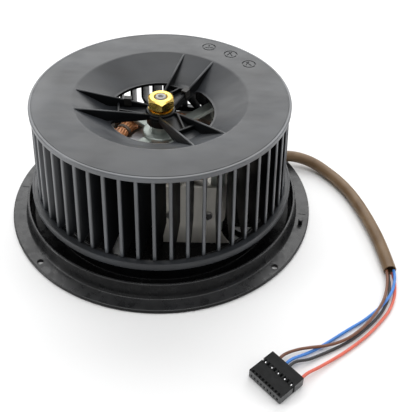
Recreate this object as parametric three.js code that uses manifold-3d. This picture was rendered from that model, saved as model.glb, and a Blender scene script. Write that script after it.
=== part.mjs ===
// Extractor-hood blower: an outer-bladed plastic wheel on the shaft of an open-frame induction motor,
// the motor standing in a round plastic mounting base, with its lead and crimp connector.
// Millimetres, +Z up. z = 0 is the underside of the base, and the wheel turns about the Z axis.
import * as THREE from "three";
import { mergeVertices } from "three/addons/utils/BufferGeometryUtils.js";
import Module from "manifold-3d";

const wasm = await Module();
wasm.setup();

// ---------------------------------------------------------------- driving dimensions
const GAP = 0.3; // kept between touching pieces

const WHEEL_TOP = 93; // top face of the wheel, the highest point of the object
const WHEEL_R = 88;
const PLATE_T = 2;
const RIM_HEIGHT = 3.5;
const RIM_INNER_R = 84.5;
const DISH_R = 59.5; // where the flat annulus turns down into the dish
const WEB_R = 37.6; // where the dish meets its flat floor
const WEB_TOP = WHEEL_TOP - 12.6;
const HUB_R = 10;
const HUB_TOP = WHEEL_TOP - 10.3;
const HUB_BOTTOM = WHEEL_TOP - 20.6;
const SPIDER_TURN = 4.6; // degrees by which the spider of ribs is turned
const RIB_OFFSET = 4.9; // each rib's root, from its pair's middle line
const RIB_SPLAY = 6.8; // degrees that each rib leans away from that line
const RIB_T = 1.8;

const BLADES = 53;
const SECTORS = 5; // the ring of blades is split into this many sectors of ten or eleven blades
const BLADE_STEP = 360 / BLADES; // degrees
const BLADE_T = 2.4;
const BLADE_INNER_R = 73;
const BLADE_OUTER_R = 86.8;
const BLADE_FLARE = 3; // the outer edge leans out by this much from top to bottom
const BLADE_SWEEP = 5; // degrees that the inner edge lies ahead of the outer edge
const BLADE_TOP = WHEEL_TOP - RIM_HEIGHT - GAP;
const BLADE_BOTTOM = 24;
const BLADE_CUT = 22; // height of the diagonal cut at the lower inner corner
const FIRST_BLADE = 263;
const RING_INNER_R = 88.4;
const RING_OUTER_R = 93.4;
const RING_BOTTOM = 21.8;
const RING_TOP = 27;

const SHAFT_R = 4;
const BORE_R = SHAFT_R + GAP;
const SHAFT_BOTTOM = 8.2;
const NUT_FLATS = 16.8;
const NUT_BOTTOM = HUB_TOP + GAP + 1 + GAP;
const NUT_TOP = WHEEL_TOP - 0.5;

const FLANGE_R = 110;
const FLANGE_T = 2.5;
const FLANGE_HOLE_R = 2;
const FLANGE_HOLES_AT = 105.4;
const COLLAR_R = 98.5;
const COLLAR_TOP = 13.8;
const COLLAR_T = 1.9;
const INLET_R = 78;
const INLET_TOP = 16;
const HOLDER_T = 3;

const STATOR_HALF = 46;
const STATOR_CORNER_R = 10;
const STATOR_BOTTOM = 18;
const STATOR_TOP = 50;
const STATOR_BORE_R = 24.6;
const YOKE_T = 10;
const POLE_W = 18;
const SHOE_R = 28;
const SHOE_HALF_ANGLE = 37;
const COIL_T = 7;
const ROTOR_R = 24;
const ROTOR_BOTTOM = 19.5;
const ROTOR_TOP = 48.5;
const BOLT_AT = 39.5; // each through-bolt's distance from the axis along X and along Y
const BOLT_R = 2;
const BEARING_R = 8;

const LEG_FACE = 48.4; // outer face of each bracket leg, from the axis along Y
const LEG_T = 1.8;
const LEG_X = [3, 38.6];
const LEG_TOP = 53.5;
const LEG_FLARE = 10.5; // how much wider the leg is at its foot
const FOOT_TOP = HOLDER_T + GAP + LEG_T;
const FOOT_END = 36; // how near to the axis the leg's flat foot reaches, along Y

const SLEEVE_D = 8.6;
const WIRE_D = 1.9;

// ---------------------------------------------------------------- helpers
const rad = THREE.MathUtils.degToRad;

function polar(radius, degrees) {
  return [radius * Math.cos(rad(degrees)), radius * Math.sin(rad(degrees))];
}

/** A geometry's merged corners and whole triangles, with the faces pointing out. */
function closedMesh(geometry) {
  const plain = geometry.clone();
  plain.deleteAttribute("normal");
  plain.deleteAttribute("uv");
  const merged = mergeVertices(plain, 1e-4);
  const place = merged.attributes.position.array;
  const source = merged.index.array;
  const corner = (i) => new THREE.Vector3().fromArray(place, 3 * i);
  const kept = [];
  let volume = 0;
  for (let i = 0; i < source.length; i += 3) {
    const [a, b, c] = [source[i], source[i + 1], source[i + 2]];
    if (a !== b && b !== c && c !== a) {
      kept.push(a, b, c);
      volume += corner(a).dot(corner(b).cross(corner(c)));
    }
  }
  const triVerts = new Uint32Array(kept);
  if (volume < 0) {
    for (let i = 0; i < triVerts.length; i += 3) {
      [triVerts[i + 1], triVerts[i + 2]] = [triVerts[i + 2], triVerts[i + 1]];
    }
  }
  return { vertProperties: new Float32Array(place), triVerts };
}

function solid(geometry) {
  return new wasm.Manifold(new wasm.Mesh({ numProp: 3, ...closedMesh(geometry) }));
}

function joined(solids) {
  return solids.reduce((whole, next) => whole.add(next));
}

function without(body, cutters) {
  return cutters.reduce((rest, cutter) => rest.subtract(cutter), body);
}

function geometryOf(body) {
  const mesh = body.getMesh();
  const geometry = new THREE.BufferGeometry();
  geometry.setAttribute("position", new THREE.BufferAttribute(mesh.vertProperties, 3));
  geometry.setIndex(new THREE.BufferAttribute(mesh.triVerts, 1));
  return geometry;
}

function turned(body, degrees) {
  return body.rotate([0, 0, degrees]);
}

/** A body of revolution about Z from a closed outline of [radius, height] corners. */
function revolved(outline, segments = 32) {
  const closed = [...outline, outline[0]].map(([r, z]) => new THREE.Vector2(r, z));
  return solid(new THREE.LatheGeometry(closed, segments).rotateX(Math.PI / 2));
}

function ring(inner, outer, bottom, top, segments = 32) {
  return revolved([[inner, bottom], [outer, bottom], [outer, top], [inner, top]], segments);
}

function rod(radius, bottom, top, x = 0, y = 0, segments = 16) {
  const geometry = new THREE.CylinderGeometry(radius, radius, top - bottom, segments);
  return solid(geometry.rotateX(Math.PI / 2).translate(x, y, (top + bottom) / 2));
}

function block([x0, x1], [y0, y1], [z0, z1]) {
  const geometry = new THREE.BoxGeometry(x1 - x0, y1 - y0, z1 - z0);
  return solid(geometry.translate((x0 + x1) / 2, (y0 + y1) / 2, (z0 + z1) / 2));
}

/** A flat outline in XY, raised from one height to another. */
function raised(shape, bottom, top, curveSegments = 6) {
  const options = { depth: top - bottom, bevelEnabled: false, curveSegments };
  return solid(new THREE.ExtrudeGeometry(shape, options).translate(0, 0, bottom));
}

function roundedSquare(half, corner) {
  const shape = new THREE.Shape();
  const inner = half - corner;
  shape.absarc(inner, inner, corner, 0, Math.PI / 2);
  shape.absarc(-inner, inner, corner, Math.PI / 2, Math.PI);
  shape.absarc(-inner, -inner, corner, Math.PI, 1.5 * Math.PI);
  shape.absarc(inner, -inner, corner, 1.5 * Math.PI, 2 * Math.PI);
  return shape;
}

function roundedBar(halfX, halfY, corner) {
  const shape = new THREE.Shape();
  shape.absarc(halfX - corner, halfY - corner, corner, 0, Math.PI / 2);
  shape.absarc(corner - halfX, halfY - corner, corner, Math.PI / 2, Math.PI);
  shape.absarc(corner - halfX, corner - halfY, corner, Math.PI, 1.5 * Math.PI);
  shape.absarc(halfX - corner, corner - halfY, corner, 1.5 * Math.PI, 2 * Math.PI);
  return shape;
}

function polygon(corners) {
  return new THREE.Shape(corners.map(([x, y]) => new THREE.Vector2(x, y)));
}

function hexagon(flats, turn = 0) {
  const corners = [0, 60, 120, 180, 240, 300].map((a) => polar(flats / Math.sqrt(3), a + turn));
  return polygon(corners);
}

/** A round cord along a hand-set route. */
function cord(route, diameter, sides, steps) {
  const section = polygon(
    Array.from({ length: sides }, (_, i) => polar(diameter / 2, (360 * i) / sides)),
  );
  const path = new THREE.CatmullRomCurve3(route.map((p) => new THREE.Vector3(...p)), false, "centripetal");
  return solid(new THREE.ExtrudeGeometry(section, { steps, extrudePath: path }));
}

// ---------------------------------------------------------------- finishes
const finish = (color, roughness, metalness) =>
  new THREE.MeshStandardMaterial({ color, roughness, metalness });
const wheelPlastic = finish(0x4a4b4d, 0.5, 0);
const basePlastic = finish(0x26272a, 0.45, 0);
const laminations = finish(0xb4b1a8, 0.45, 0.9);
const zinc = finish(0x9aa29c, 0.5, 0.8);
const galvanised = finish(0xb9b6ac, 0.4, 0.9);
const copper = finish(0xb5653a, 0.35, 0.9);
const steel = finish(0x9b9c9e, 0.3, 1);
const brass = finish(0xd0a640, 0.25, 1);
const bronze = finish(0x9c7a45, 0.5, 0.9);
const castAluminium = finish(0xb8babd, 0.5, 0.9);
const nylon = finish(0xe4e1d6, 0.5, 0);
const rubber = finish(0x1c1c1d, 0.8, 0);
const connectorPlastic = finish(0x2b2c2e, 0.4, 0);
const tin = finish(0xc9cacc, 0.3, 1);
const sleevePlastic = finish(0x8b7259, 0.5, 0);
const wireFinish = {
  brown: finish(0x7a4f3c, 0.5, 0),
  blue: finish(0x3f7fca, 0.5, 0),
  black: finish(0x3c3d40, 0.5, 0),
  red: finish(0xdd5a4e, 0.5, 0),
};

// ---------------------------------------------------------------- the fan wheel
/** One of the three openings in the dish floor, between two pairs of ribs. */
function webOpening(direction) {
  const ribEdge = RIB_OFFSET + RIB_T / 2 + 0.1;
  const halfAngle = (r) => 60 - RIB_SPLAY - THREE.MathUtils.radToDeg(Math.asin(ribEdge / r));
  const innerR = HUB_R + 0.5;
  const outerR = WEB_R - 1.2;
  const at = (r, side) => polar(r, side * halfAngle(r));
  const arcHalf = halfAngle(outerR) - 8;
  const innerHalf = halfAngle(innerR);
  const shape = new THREE.Shape();
  shape.moveTo(...at(innerR, -1));
  shape.lineTo(...at(outerR - 4, -1));
  shape.quadraticCurveTo(...at(outerR, -1), ...polar(outerR, -arcHalf));
  shape.absarc(0, 0, outerR, rad(-arcHalf), rad(arcHalf));
  shape.quadraticCurveTo(...at(outerR, 1), ...at(outerR - 4, 1));
  shape.lineTo(...at(innerR, 1));
  shape.absarc(0, 0, innerR, rad(innerHalf), rad(-innerHalf), true);
  return turned(raised(shape, WEB_TOP - 6, WEB_TOP + 3, 5), direction);
}

/** A tapering rib from the hub to the edge of the dish, on one side of its pair's mid-plane. */
function dishRib(direction, side) {
  const profile = polygon([
    [8, WEB_TOP - 1.5], [WEB_R, WEB_TOP - 1.5], [DISH_R + 1, WHEEL_TOP - 1.4], [DISH_R, WHEEL_TOP - 0.8],
    [50, WHEEL_TOP - 2.1], [40, WHEEL_TOP - 4], [25, WHEEL_TOP - 7.2], [8, HUB_TOP - 0.4],
  ]);
  const rib = new THREE.ExtrudeGeometry(profile, { depth: RIB_T, bevelEnabled: false });
  rib.rotateX(Math.PI / 2).translate(0, RIB_T / 2, 0).rotateZ(rad(side * RIB_SPLAY));
  rib.translate(0, side * RIB_OFFSET, 0);
  return turned(solid(rib), direction);
}

/** Low walls between the two ribs of a pair: one across, and a brace from its middle in to one root. */
function ribBridge(direction) {
  const heights = [WEB_TOP - 1, WEB_TOP + 4];
  const across = block([28, 29.6], [-8, 8], heights);
  const brace = turned(block([0, 18.5], [-0.7, 0.7], heights), -18.5).translate([11.3, 6.1, 0]);
  return turned(across.add(brace), direction);
}

/** A curved blade, upright at its inner edge and leaning out a little at its outer edge. */
function blade(angle) {
  const stations = 4;
  const position = [];
  for (let i = 0; i < stations; i += 1) {
    const s = i / (stations - 1);
    const radius = BLADE_INNER_R + (BLADE_OUTER_R - BLADE_INNER_R) * s;
    const sweep = BLADE_SWEEP * (1 - s) ** 1.3;
    const bottom = BLADE_BOTTOM + BLADE_CUT * Math.max(0, 1 - s / 0.9);
    for (const z of [BLADE_TOP, bottom]) {
      const r = radius + BLADE_FLARE * s * ((BLADE_TOP - z) / (BLADE_TOP - BLADE_BOTTOM));
      for (const side of [-1, 1]) {
        const [x, y] = polar(r, angle + sweep);
        const across = rad(angle + sweep + 90 - 32 * (1 - s));
        const [dx, dy] = [Math.cos(across), Math.sin(across)].map((c) => (side * c * BLADE_T) / 2);
        position.push(x + dx, y + dy, z);
      }
    }
  }
  const index = [0, 2, 3, 0, 3, 1];
  for (let i = 0; i < stations - 1; i += 1) {
    const a = 4 * i;
    const b = a + 4;
    index.push(a, a + 1, b + 1, a, b + 1, b); // top
    index.push(a + 2, b + 3, a + 3, a + 2, b + 2, b + 3); // bottom
    index.push(a, b, b + 2, a, b + 2, a + 2); // near face
    index.push(a + 1, a + 3, b + 3, a + 1, b + 3, b + 1); // far face
  }
  const last = 4 * (stations - 1);
  index.push(last, last + 1, last + 3, last, last + 3, last + 2);
  const geometry = new THREE.BufferGeometry();
  geometry.setAttribute("position", new THREE.Float32BufferAttribute(position, 3));
  geometry.setIndex(index);
  return solid(geometry);
}

/** The round plate with its rim, its dish and hub, and the ribs in the dish. */
function wheelBackplate() {
  const under = WHEEL_TOP - PLATE_T;
  const plate = revolved([
    [BORE_R, HUB_TOP], [HUB_R, HUB_TOP], [HUB_R, WEB_TOP], [WEB_R, WEB_TOP], [DISH_R, WHEEL_TOP],
    [WHEEL_R, WHEEL_TOP], [WHEEL_R, WHEEL_TOP - RIM_HEIGHT], [RIM_INNER_R, WHEEL_TOP - RIM_HEIGHT],
    [RIM_INNER_R, under], [DISH_R + 0.6, under], [WEB_R + 0.6, WEB_TOP - PLATE_T],
    [HUB_R, WEB_TOP - PLATE_T], [HUB_R, HUB_BOTTOM], [BORE_R, HUB_BOTTOM],
  ], 60);
  const dishFloor = without(plate, [0, 120, 240].map((a) => webOpening(a + SPIDER_TURN)));
  const pairs = [60, 180, 300].map((a) => a + SPIDER_TURN);
  const ribs = pairs.flatMap((a) => [dishRib(a, 1), dishRib(a, -1), ribBridge(a)]);
  const bore = rod(BORE_R, HUB_BOTTOM - 1, HUB_TOP + 1);
  return joined([dishFloor, ...ribs]).subtract(bore);
}

/** Neighbouring blades with the arc of the bottom ring that ties their lower ends together. */
function bladeSector(index) {
  const firstBlade = Math.round((index * BLADES) / SECTORS);
  const count = Math.round(((index + 1) * BLADES) / SECTORS) - firstBlade;
  const first = FIRST_BLADE + firstBlade * BLADE_STEP;
  const blades = Array.from({ length: count }, (_, i) => blade(first + i * BLADE_STEP));
  const endGap = THREE.MathUtils.radToDeg(GAP / 2 / RING_OUTER_R);
  const start = rad(first - BLADE_STEP / 2 + endGap);
  const end = rad(first + (count - 0.5) * BLADE_STEP - endGap);
  const arc = new THREE.Shape();
  arc.absarc(0, 0, RING_OUTER_R, start, end);
  arc.absarc(0, 0, RING_INNER_R, end, start, true);
  return joined([raised(arc, RING_BOTTOM, RING_TOP, 12), ...blades]);
}

// ---------------------------------------------------------------- shaft and rotor
function shaft() {
  return revolved([
    [0, SHAFT_BOTTOM], [SHAFT_R - 0.5, SHAFT_BOTTOM], [SHAFT_R, SHAFT_BOTTOM + 0.5],
    [SHAFT_R, WHEEL_TOP - 0.9], [SHAFT_R - 0.6, WHEEL_TOP - 0.2],
    [1.2, WHEEL_TOP - 0.2], [0, WHEEL_TOP - 1.2],
  ], 16);
}

function hubNut() {
  const body = raised(hexagon(NUT_FLATS, 38), NUT_BOTTOM, NUT_TOP);
  const corner = NUT_FLATS / Math.sqrt(3);
  const chamfered = revolved([
    [0, NUT_BOTTOM], [corner - 2, NUT_BOTTOM], [corner + 0.2, NUT_BOTTOM + 1.6],
    [corner + 0.2, NUT_TOP - 1.4], [corner - 2, NUT_TOP], [0, NUT_TOP],
  ], 24);
  return body.intersect(chamfered).subtract(rod(BORE_R, NUT_BOTTOM - 1, NUT_TOP + 1));
}

/** A folded steel clip that slips over a dish rib to balance the wheel. */
function balanceClip(direction, side, at) {
  const inner = RIB_T / 2 + GAP;
  const clip = joined([
    block([at, at + 5], [-inner - 0.8, -inner], [WHEEL_TOP - 11, WHEEL_TOP - 5.5]),
    block([at, at + 5], [inner, inner + 0.8], [WHEEL_TOP - 11, WHEEL_TOP - 5.5]),
    block([at, at + 5], [-inner - 0.8, inner + 0.8], [WHEEL_TOP - 6.3, WHEEL_TOP - 5.5]),
  ]);
  return turned(clip.rotate([0, 0, side * RIB_SPLAY]).translate([0, side * RIB_OFFSET, 0]), direction);
}

// ---------------------------------------------------------------- the motor
function stator() {
  const plate = raised(roundedSquare(STATOR_HALF, STATOR_CORNER_R), STATOR_BOTTOM, STATOR_TOP);
  const slotHalf = STATOR_HALF - YOKE_T;
  const window = raised(roundedSquare(slotHalf, 8), STATOR_BOTTOM - 1, STATOR_TOP + 1);
  const yoke = plate.subtract(window);
  const poles = [0, 90, 180, 270].map((direction) => {
    const stem = block([SHOE_R - 2, slotHalf + 2], [-POLE_W / 2, POLE_W / 2], [STATOR_BOTTOM, STATOR_TOP]);
    const shoe = new THREE.Shape();
    shoe.absarc(0, 0, SHOE_R, rad(-SHOE_HALF_ANGLE), rad(SHOE_HALF_ANGLE));
    shoe.absarc(0, 0, STATOR_BORE_R, rad(SHOE_HALF_ANGLE), rad(-SHOE_HALF_ANGLE), true);
    return turned(stem.add(raised(shoe, STATOR_BOTTOM, STATOR_TOP, 6)), direction);
  });
  const bore = rod(STATOR_BORE_R, STATOR_BOTTOM - 1, STATOR_TOP + 1, 0, 0, 40);
  const sideHoles = sideScrewPlaces().flatMap(([x, z]) => {
    const hole = sideRod(1.5 + GAP, 40.6, STATOR_HALF + 1, x, z);
    return [hole, turned(hole, 180)];
  });
  return without(joined([yoke, ...poles]), [
    bore, ...boltHoles(STATOR_BOTTOM, STATOR_TOP), ...sideHoles,
  ]);
}

function corners() {
  return [45, 135, 225, 315].map((a) => polar(BOLT_AT * Math.SQRT2, a));
}

function boltHoles(bottom, top) {
  return corners().map(([x, y]) => rod(BOLT_R + GAP, bottom - 1, top + 1, x, y, 8));
}

/** A copper coil round one stator pole. */
function coil(direction) {
  const halfWide = POLE_W / 2 + GAP;
  const halfHigh = (STATOR_TOP - STATOR_BOTTOM) / 2 + GAP;
  const outline = roundedBar(halfWide + COIL_T, halfHigh + COIL_T, COIL_T);
  outline.holes.push(roundedBar(halfWide, halfHigh, 0.5));
  const depth = STATOR_HALF - YOKE_T - SHOE_R - 2 * GAP;
  const geometry = new THREE.ExtrudeGeometry(outline, { depth, bevelEnabled: false, curveSegments: 3 });
  geometry.rotateX(Math.PI / 2).rotateZ(Math.PI / 2);
  geometry.translate(SHOE_R + GAP, 0, (STATOR_TOP + STATOR_BOTTOM) / 2);
  return turned(solid(geometry), direction);
}

/** Four arms that carry a bearing cup from the stator's corners. */
function bearingArms(foot, armBottom, armTop) {
  const [footBottom, footTop] = foot;
  return [45, 135, 225, 315].map((direction) => {
    const reach = BOLT_AT * Math.SQRT2;
    const arm = block([11.5, reach], [-4, 4], [armBottom, armTop]);
    const post = rod(4.6, footBottom, footTop, reach, 0, 12);
    return turned(arm.add(post), direction);
  });
}

const BEARING_TOP = WHEEL_TOP - 28.5;
const BOSS_R = 6.6;
const BOSS_TOP = HUB_BOTTOM - 2.4;
const BEARING_LENGTH = 4.5;

function upperBracket() {
  const cup = revolved([
    [BEARING_R + GAP, BEARING_TOP - BEARING_LENGTH], [13, BEARING_TOP - BEARING_LENGTH],
    [13, BEARING_TOP + 1], [BOSS_R, BEARING_TOP + 1], [BOSS_R, BOSS_TOP],
    [BORE_R + 0.3, BOSS_TOP], [BORE_R + 0.3, BEARING_TOP + GAP],
    [BEARING_R + GAP, BEARING_TOP + GAP],
  ]);
  const arms = bearingArms([STATOR_TOP + GAP, 63.5], 60, 63.5);
  return without(joined([cup, ...arms]), [
    ...boltHoles(STATOR_TOP, 64), rod(BEARING_R + GAP, 55, BEARING_TOP + GAP, 0, 0, 32),
  ]);
}

function lowerBracket() {
  const cup = revolved([
    [0, 4.5], [13, 4.5], [13, 13.5], [BEARING_R + GAP, 13.5], [BEARING_R + GAP, 6], [0, 6],
  ]);
  const arms = bearingArms([9, STATOR_BOTTOM - GAP], 9, 12.5).map((arm) =>
    arm.subtract(rod(10, 0, 20)),
  );
  return without(joined([cup, ...arms]), boltHoles(9, STATOR_BOTTOM));
}

function throughBolt([x, y]) {
  const head = rod(3.8, 63.5 + GAP, 66.4, x, y, 12);
  return head.add(rod(BOLT_R, 5.2, 64, x, y, 8));
}

function boltNut([x, y]) {
  const body = raised(hexagon(7), 5.6, 9 - GAP).translate([x, y, 0]);
  return body.subtract(rod(BOLT_R + GAP, 5, 9, x, y, 8));
}

/** A galvanised leg that carries the motor: an upright strap, flared at its foot, on a flat foot. */
function bracketLeg() {
  const [left, right] = LEG_X;
  const face = new THREE.Shape();
  face.moveTo(left, FOOT_TOP - LEG_T);
  face.lineTo(right + LEG_FLARE, FOOT_TOP - LEG_T);
  face.quadraticCurveTo(right + 1, 14, right, 40);
  face.lineTo(right, LEG_TOP);
  face.lineTo(left, LEG_TOP);
  const upright = new THREE.ExtrudeGeometry(face, { depth: LEG_T, bevelEnabled: false, curveSegments: 8 });
  upright.rotateX(Math.PI / 2).translate(0, LEG_T - LEG_FACE, 0);
  const foot = block([left, right - 4.6], [0.5 - LEG_FACE, -FOOT_END], [FOOT_TOP - LEG_T, FOOT_TOP]);
  return without(solid(upright).add(foot), [
    ...footScrewPlaces().map(([x, y]) => rod(1.5 + GAP, 0, 8, x, y, 8)),
    ...sideScrewPlaces().map(([x, z]) => sideRod(1.5 + GAP, 40, 55, x, z)),
  ]);
}

function footScrewPlaces() {
  return [[LEG_X[0] + 8, -FOOT_END - 4], [LEG_X[1] - 8.6, -FOOT_END - 4]];
}

function sideScrewPlaces() {
  return [[LEG_X[0] + 5, 30], [LEG_X[1] - 5, 30]];
}

/** A rod along Y, between two distances in front of the axis. */
function sideRod(radius, near, far, x, z) {
  const geometry = new THREE.CylinderGeometry(radius, radius, far - near, 8);
  return solid(geometry.translate(x, -(near + far) / 2, z));
}

function footScrew([x, y]) {
  return rod(3, FOOT_TOP + GAP, FOOT_TOP + 2.2, x, y, 10).add(rod(1.5, 0.4, FOOT_TOP + 1, x, y, 8));
}

function sideScrew([x, z]) {
  return sideRod(3, LEG_FACE + GAP, LEG_FACE + 2.2, x, z).add(sideRod(1.5, 41, LEG_FACE + 1, x, z));
}

// ---------------------------------------------------------------- the base
const BUSH_R = SLEEVE_D / 2 + GAP + 0.8;
const EXIT_POINT = polar(COLLAR_R, 27.3); // where the lead passes through the collar
const EXIT_TURN = 10; // the lead's direction there, in degrees from +X
const EXIT_HEIGHT = FLANGE_T + GAP + BUSH_R + 0.1;
const LIP_NOTCH_ANGLE = 30; // where the lead passes the inlet's lip

/** Moves a body made along +X from the origin to the lead's way through the collar. */
const atExit = (body) => turned(body, EXIT_TURN).translate([...EXIT_POINT, 0]);

function baseMoulding() {
  const shell = revolved([
    [FLANGE_R, 0], [FLANGE_R, FLANGE_T], [COLLAR_R + 1.8, FLANGE_T], [COLLAR_R + 0.6, 5],
    [COLLAR_R, COLLAR_TOP], [COLLAR_R - COLLAR_T, COLLAR_TOP], [COLLAR_R - COLLAR_T, 5],
    [COLLAR_R - 4, FLANGE_T], [INLET_R + 5, FLANGE_T], [INLET_R + 3.4, 9], [INLET_R + 1.6, INLET_TOP],
    [INLET_R, INLET_TOP], [INLET_R + 1.4, 8], [INLET_R + 2, 0],
  ], 60);
  const disc = rod(INLET_R + 3, 0, HOLDER_T, 0, 0, 60);
  const legPad = block([-24, LEG_X[1] + LEG_FLARE], [-INLET_R - 3, -34], [0, HOLDER_T]);
  const sidePad = block([-68, -32], [-INLET_R - 3, -26], [0, HOLDER_T]);
  const pad = legPad.add(sidePad).intersect(disc);
  const arm = block([36, INLET_R + 1], [-28, 28], [0, HOLDER_T]).intersect(disc);
  const spoke = turned(block([44, INLET_R + 1], [-1.5, 1.5], [0, HOLDER_T]), -33.5);
  const armRib = block([36, INLET_R + 1], [-1, 1], [0, HOLDER_T + 3]);
  const centre = ring(34, 44, 0, HOLDER_T, 48);
  const nub = rod(1.6, FLANGE_T - 1, FLANGE_T + 4, ...polar(104.5, 345.7), 12);
  const body = joined([
    shell, pad, turned(pad, 180), arm, turned(arm, 180), armRib, turned(armRib, 180),
    spoke, turned(spoke, 180), centre, nub,
  ]);
  const holes = [41, 139, 221, 319].map((a) => polar(FLANGE_HOLES_AT, a));
  const notchHalf = BUSH_R + GAP;
  const collarNotch = block([-9, 9], [-notchHalf, notchHalf], [FLANGE_T + GAP, COLLAR_TOP + 1]);
  const inletNotch = block([72, 89], [-notchHalf, notchHalf], [FLANGE_T + GAP, INLET_TOP + 1]);
  const footHoles = footScrewPlaces().flatMap(([x, y]) => [[x, y], [-x, -y]]);
  return without(body, [
    ...holes.map(([x, y]) => rod(FLANGE_HOLE_R, -1, FLANGE_T + 1, x, y, 12)),
    ...footHoles.map(([x, y]) => rod(1.5 + GAP, -1, HOLDER_T + 1, x, y, 8)),
    atExit(collarNotch),
    turned(inletNotch, LIP_NOTCH_ANGLE),
  ]);
}

/** The rubber bush round the lead where it passes through the collar. */
function leadGrommet() {
  const bore = SLEEVE_D / 2 + GAP + 0.1;
  const neck = BUSH_R - 0.3;
  const outline = [
    [bore, -9], [neck, -9], [neck, 3.5], [BUSH_R, 4], [BUSH_R, 5], [neck, 5.5], [neck - 0.3, 8], [bore, 8],
  ];
  const closed = [...outline, outline[0]].map(([r, at]) => new THREE.Vector2(r, at));
  const bush = new THREE.LatheGeometry(closed, 16).rotateZ(-Math.PI / 2).translate(0, 0, EXIT_HEIGHT);
  return atExit(solid(bush));
}

/** The nylon block where the lead's wires meet the winding ends. */
function terminalBlock() {
  return block([STATOR_HALF + GAP, STATOR_HALF + 8], [20, 39], [STATOR_BOTTOM - 8, STATOR_TOP + 6]);
}

// ---------------------------------------------------------------- the lead
const ON_TABLE = SLEEVE_D / 2;
const WIRE_LOW = WIRE_D / 2 + 0.2;
const WIRE_HIGH = WIRE_LOW + WIRE_D + GAP;

/** A point on the lead's straight way through the collar. */
function onExit(along) {
  const [x, y] = EXIT_POINT;
  return [x + along * Math.cos(rad(EXIT_TURN)), y + along * Math.sin(rad(EXIT_TURN)), EXIT_HEIGHT];
}

const sleeveRoute = [
  [57, 31.6, 13.6], [60.8, 34.4, 12.4], [65.4, 37.6, 10.8], [70.4, 40.7, 9.2], onExit(-11), onExit(-7),
  onExit(0), onExit(8), [101.8, 47.2, 7.8], [108.4, 46.4, 6.9], [114.6, 44.1, 6.1], [119.9, 40.7, 5.4],
  [124.1, 36.9, 4.8], [129.6, 30.2, 4.4], [134.6, 22.9, ON_TABLE], [138.8, 15.2, ON_TABLE],
  [142.8, 6, ON_TABLE], [146.8, -6.2, ON_TABLE], [150, -18.8, ON_TABLE], [152.5, -30.9, ON_TABLE],
  [154.5, -43.1, ON_TABLE], [155.7, -54.9, ON_TABLE], [156.5, -65.3, ON_TABLE], [156.9, -72, ON_TABLE],
];

const CONNECTOR = { centre: [73.65, -157.6], turn: -48, length: 25, depth: 19.8, height: 7, pitch: 2.54 };

/** A point of the connector's own frame: along its length, back from its centre, and up. */
function onConnector(along, back, up) {
  const [cx, cy] = CONNECTOR.centre;
  const c = Math.cos(rad(CONNECTOR.turn));
  const s = Math.sin(rad(CONNECTOR.turn));
  return [cx + along * c - back * s, cy + along * s + back * c, up];
}

/** Where a wire enters the connector's rear face: position 1 to 9, and a given distance behind the face. */
function wireEntry(place, behind) {
  return onConnector((place - 5) * CONNECTOR.pitch, CONNECTOR.depth / 2 + behind, 3.4);
}

const wireRoutes = {
  brown: [
    [154.5, -72.4, 4.6], [153.8, -78.8, 4.4], [152.4, -85.1, 4.2], [150.2, -91.9, 4.5],
    [147.3, -98.7, 5.1], [144.5, -103.5, 4.9], [141.2, -108.2, 4.4], [135.6, -115, 3.8],
    [129, -121.6, 3.6], [121.3, -127.7, WIRE_HIGH], [113.2, -132, WIRE_HIGH], [105, -134.6, WIRE_HIGH],
    [96.3, -136.2, 3.6], [88, -138, 3.5], wireEntry(2, 6), wireEntry(2, GAP),
  ],
  blue: [
    [159.3, -72.4, 4.9], [158.6, -78.6, 4.8], [156.7, -85.5, 4.4], [153.8, -91.8, 3.9], [150, -97.2, 3.4],
    [144.9, -102.6, 2.4], [139, -107.6, 1.4], [131.7, -113.5, WIRE_LOW], [123.6, -119, WIRE_LOW],
    [116.6, -124, WIRE_LOW], [109.7, -129, WIRE_LOW], [102.3, -134, WIRE_LOW], [94.4, -139, 1.7],
    wireEntry(4, 6), wireEntry(4, GAP),
  ],
  black: [
    [155.7, -72.4, 2.5], [155.5, -77, 2], [154.9, -83, 1.4], [153.2, -90.3, WIRE_LOW], [150, -98.1, WIRE_LOW],
    [145.4, -105.6, WIRE_LOW], [139.6, -112.6, WIRE_LOW], [132.3, -119.8, WIRE_LOW],
    [124.5, -126.5, WIRE_LOW], [116.9, -131.7, WIRE_LOW], [109.5, -135.9, WIRE_LOW],
    [101.7, -140, 1.4], [94.2, -143.9, 2.2], wireEntry(5, 6), wireEntry(5, GAP),
  ],
  red: [
    [158.7, -72.4, 2.3], [159, -77, 1.8], [158.2, -85, WIRE_LOW], [155.7, -93.7, WIRE_LOW],
    [150.6, -103.9, WIRE_LOW], [142.8, -113.9, WIRE_LOW], [133.3, -123.9, WIRE_LOW],
    [124.1, -131.9, WIRE_LOW], [115, -138.8, WIRE_LOW], [106.9, -144.5, 1.6], [99, -150, 2.5],
    wireEntry(9, 6), wireEntry(9, GAP),
  ],
};

const placedOnConnector = (body) =>
  body.rotate([0, 0, CONNECTOR.turn]).translate([...CONNECTOR.centre, 0]);
const CONTACT_PLACES = [1, 3, 5, 7, 9];

function connectorHousing() {
  const { length, depth, height, pitch } = CONNECTOR;
  const front = -depth / 2;
  const step = front + 10.4;
  const body = block([-length / 2, length / 2], [front, depth / 2], [0, height]);
  const cuts = [
    block([-length, length], [front - 1, step], [height - 0.7, height + 1]),
    ...[-1, 1].map((side) =>
      block([side * length / 2 - 1.1, side * length / 2 + 1.1], [step, step + 1.6], [1.2, height + 1])),
  ];
  for (let place = 1; place <= 9; place += 1) {
    const x = (place - 5) * pitch;
    cuts.push(block([x - 0.85, x + 0.85], [step - 0.2, step + 2.2], [height - 3, height + 1]));
    cuts.push(block([x - 0.6, x + 0.6], [front - 1, front + 5], [2, 4.2]));
  }
  return placedOnConnector(without(body, cuts));
}

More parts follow.
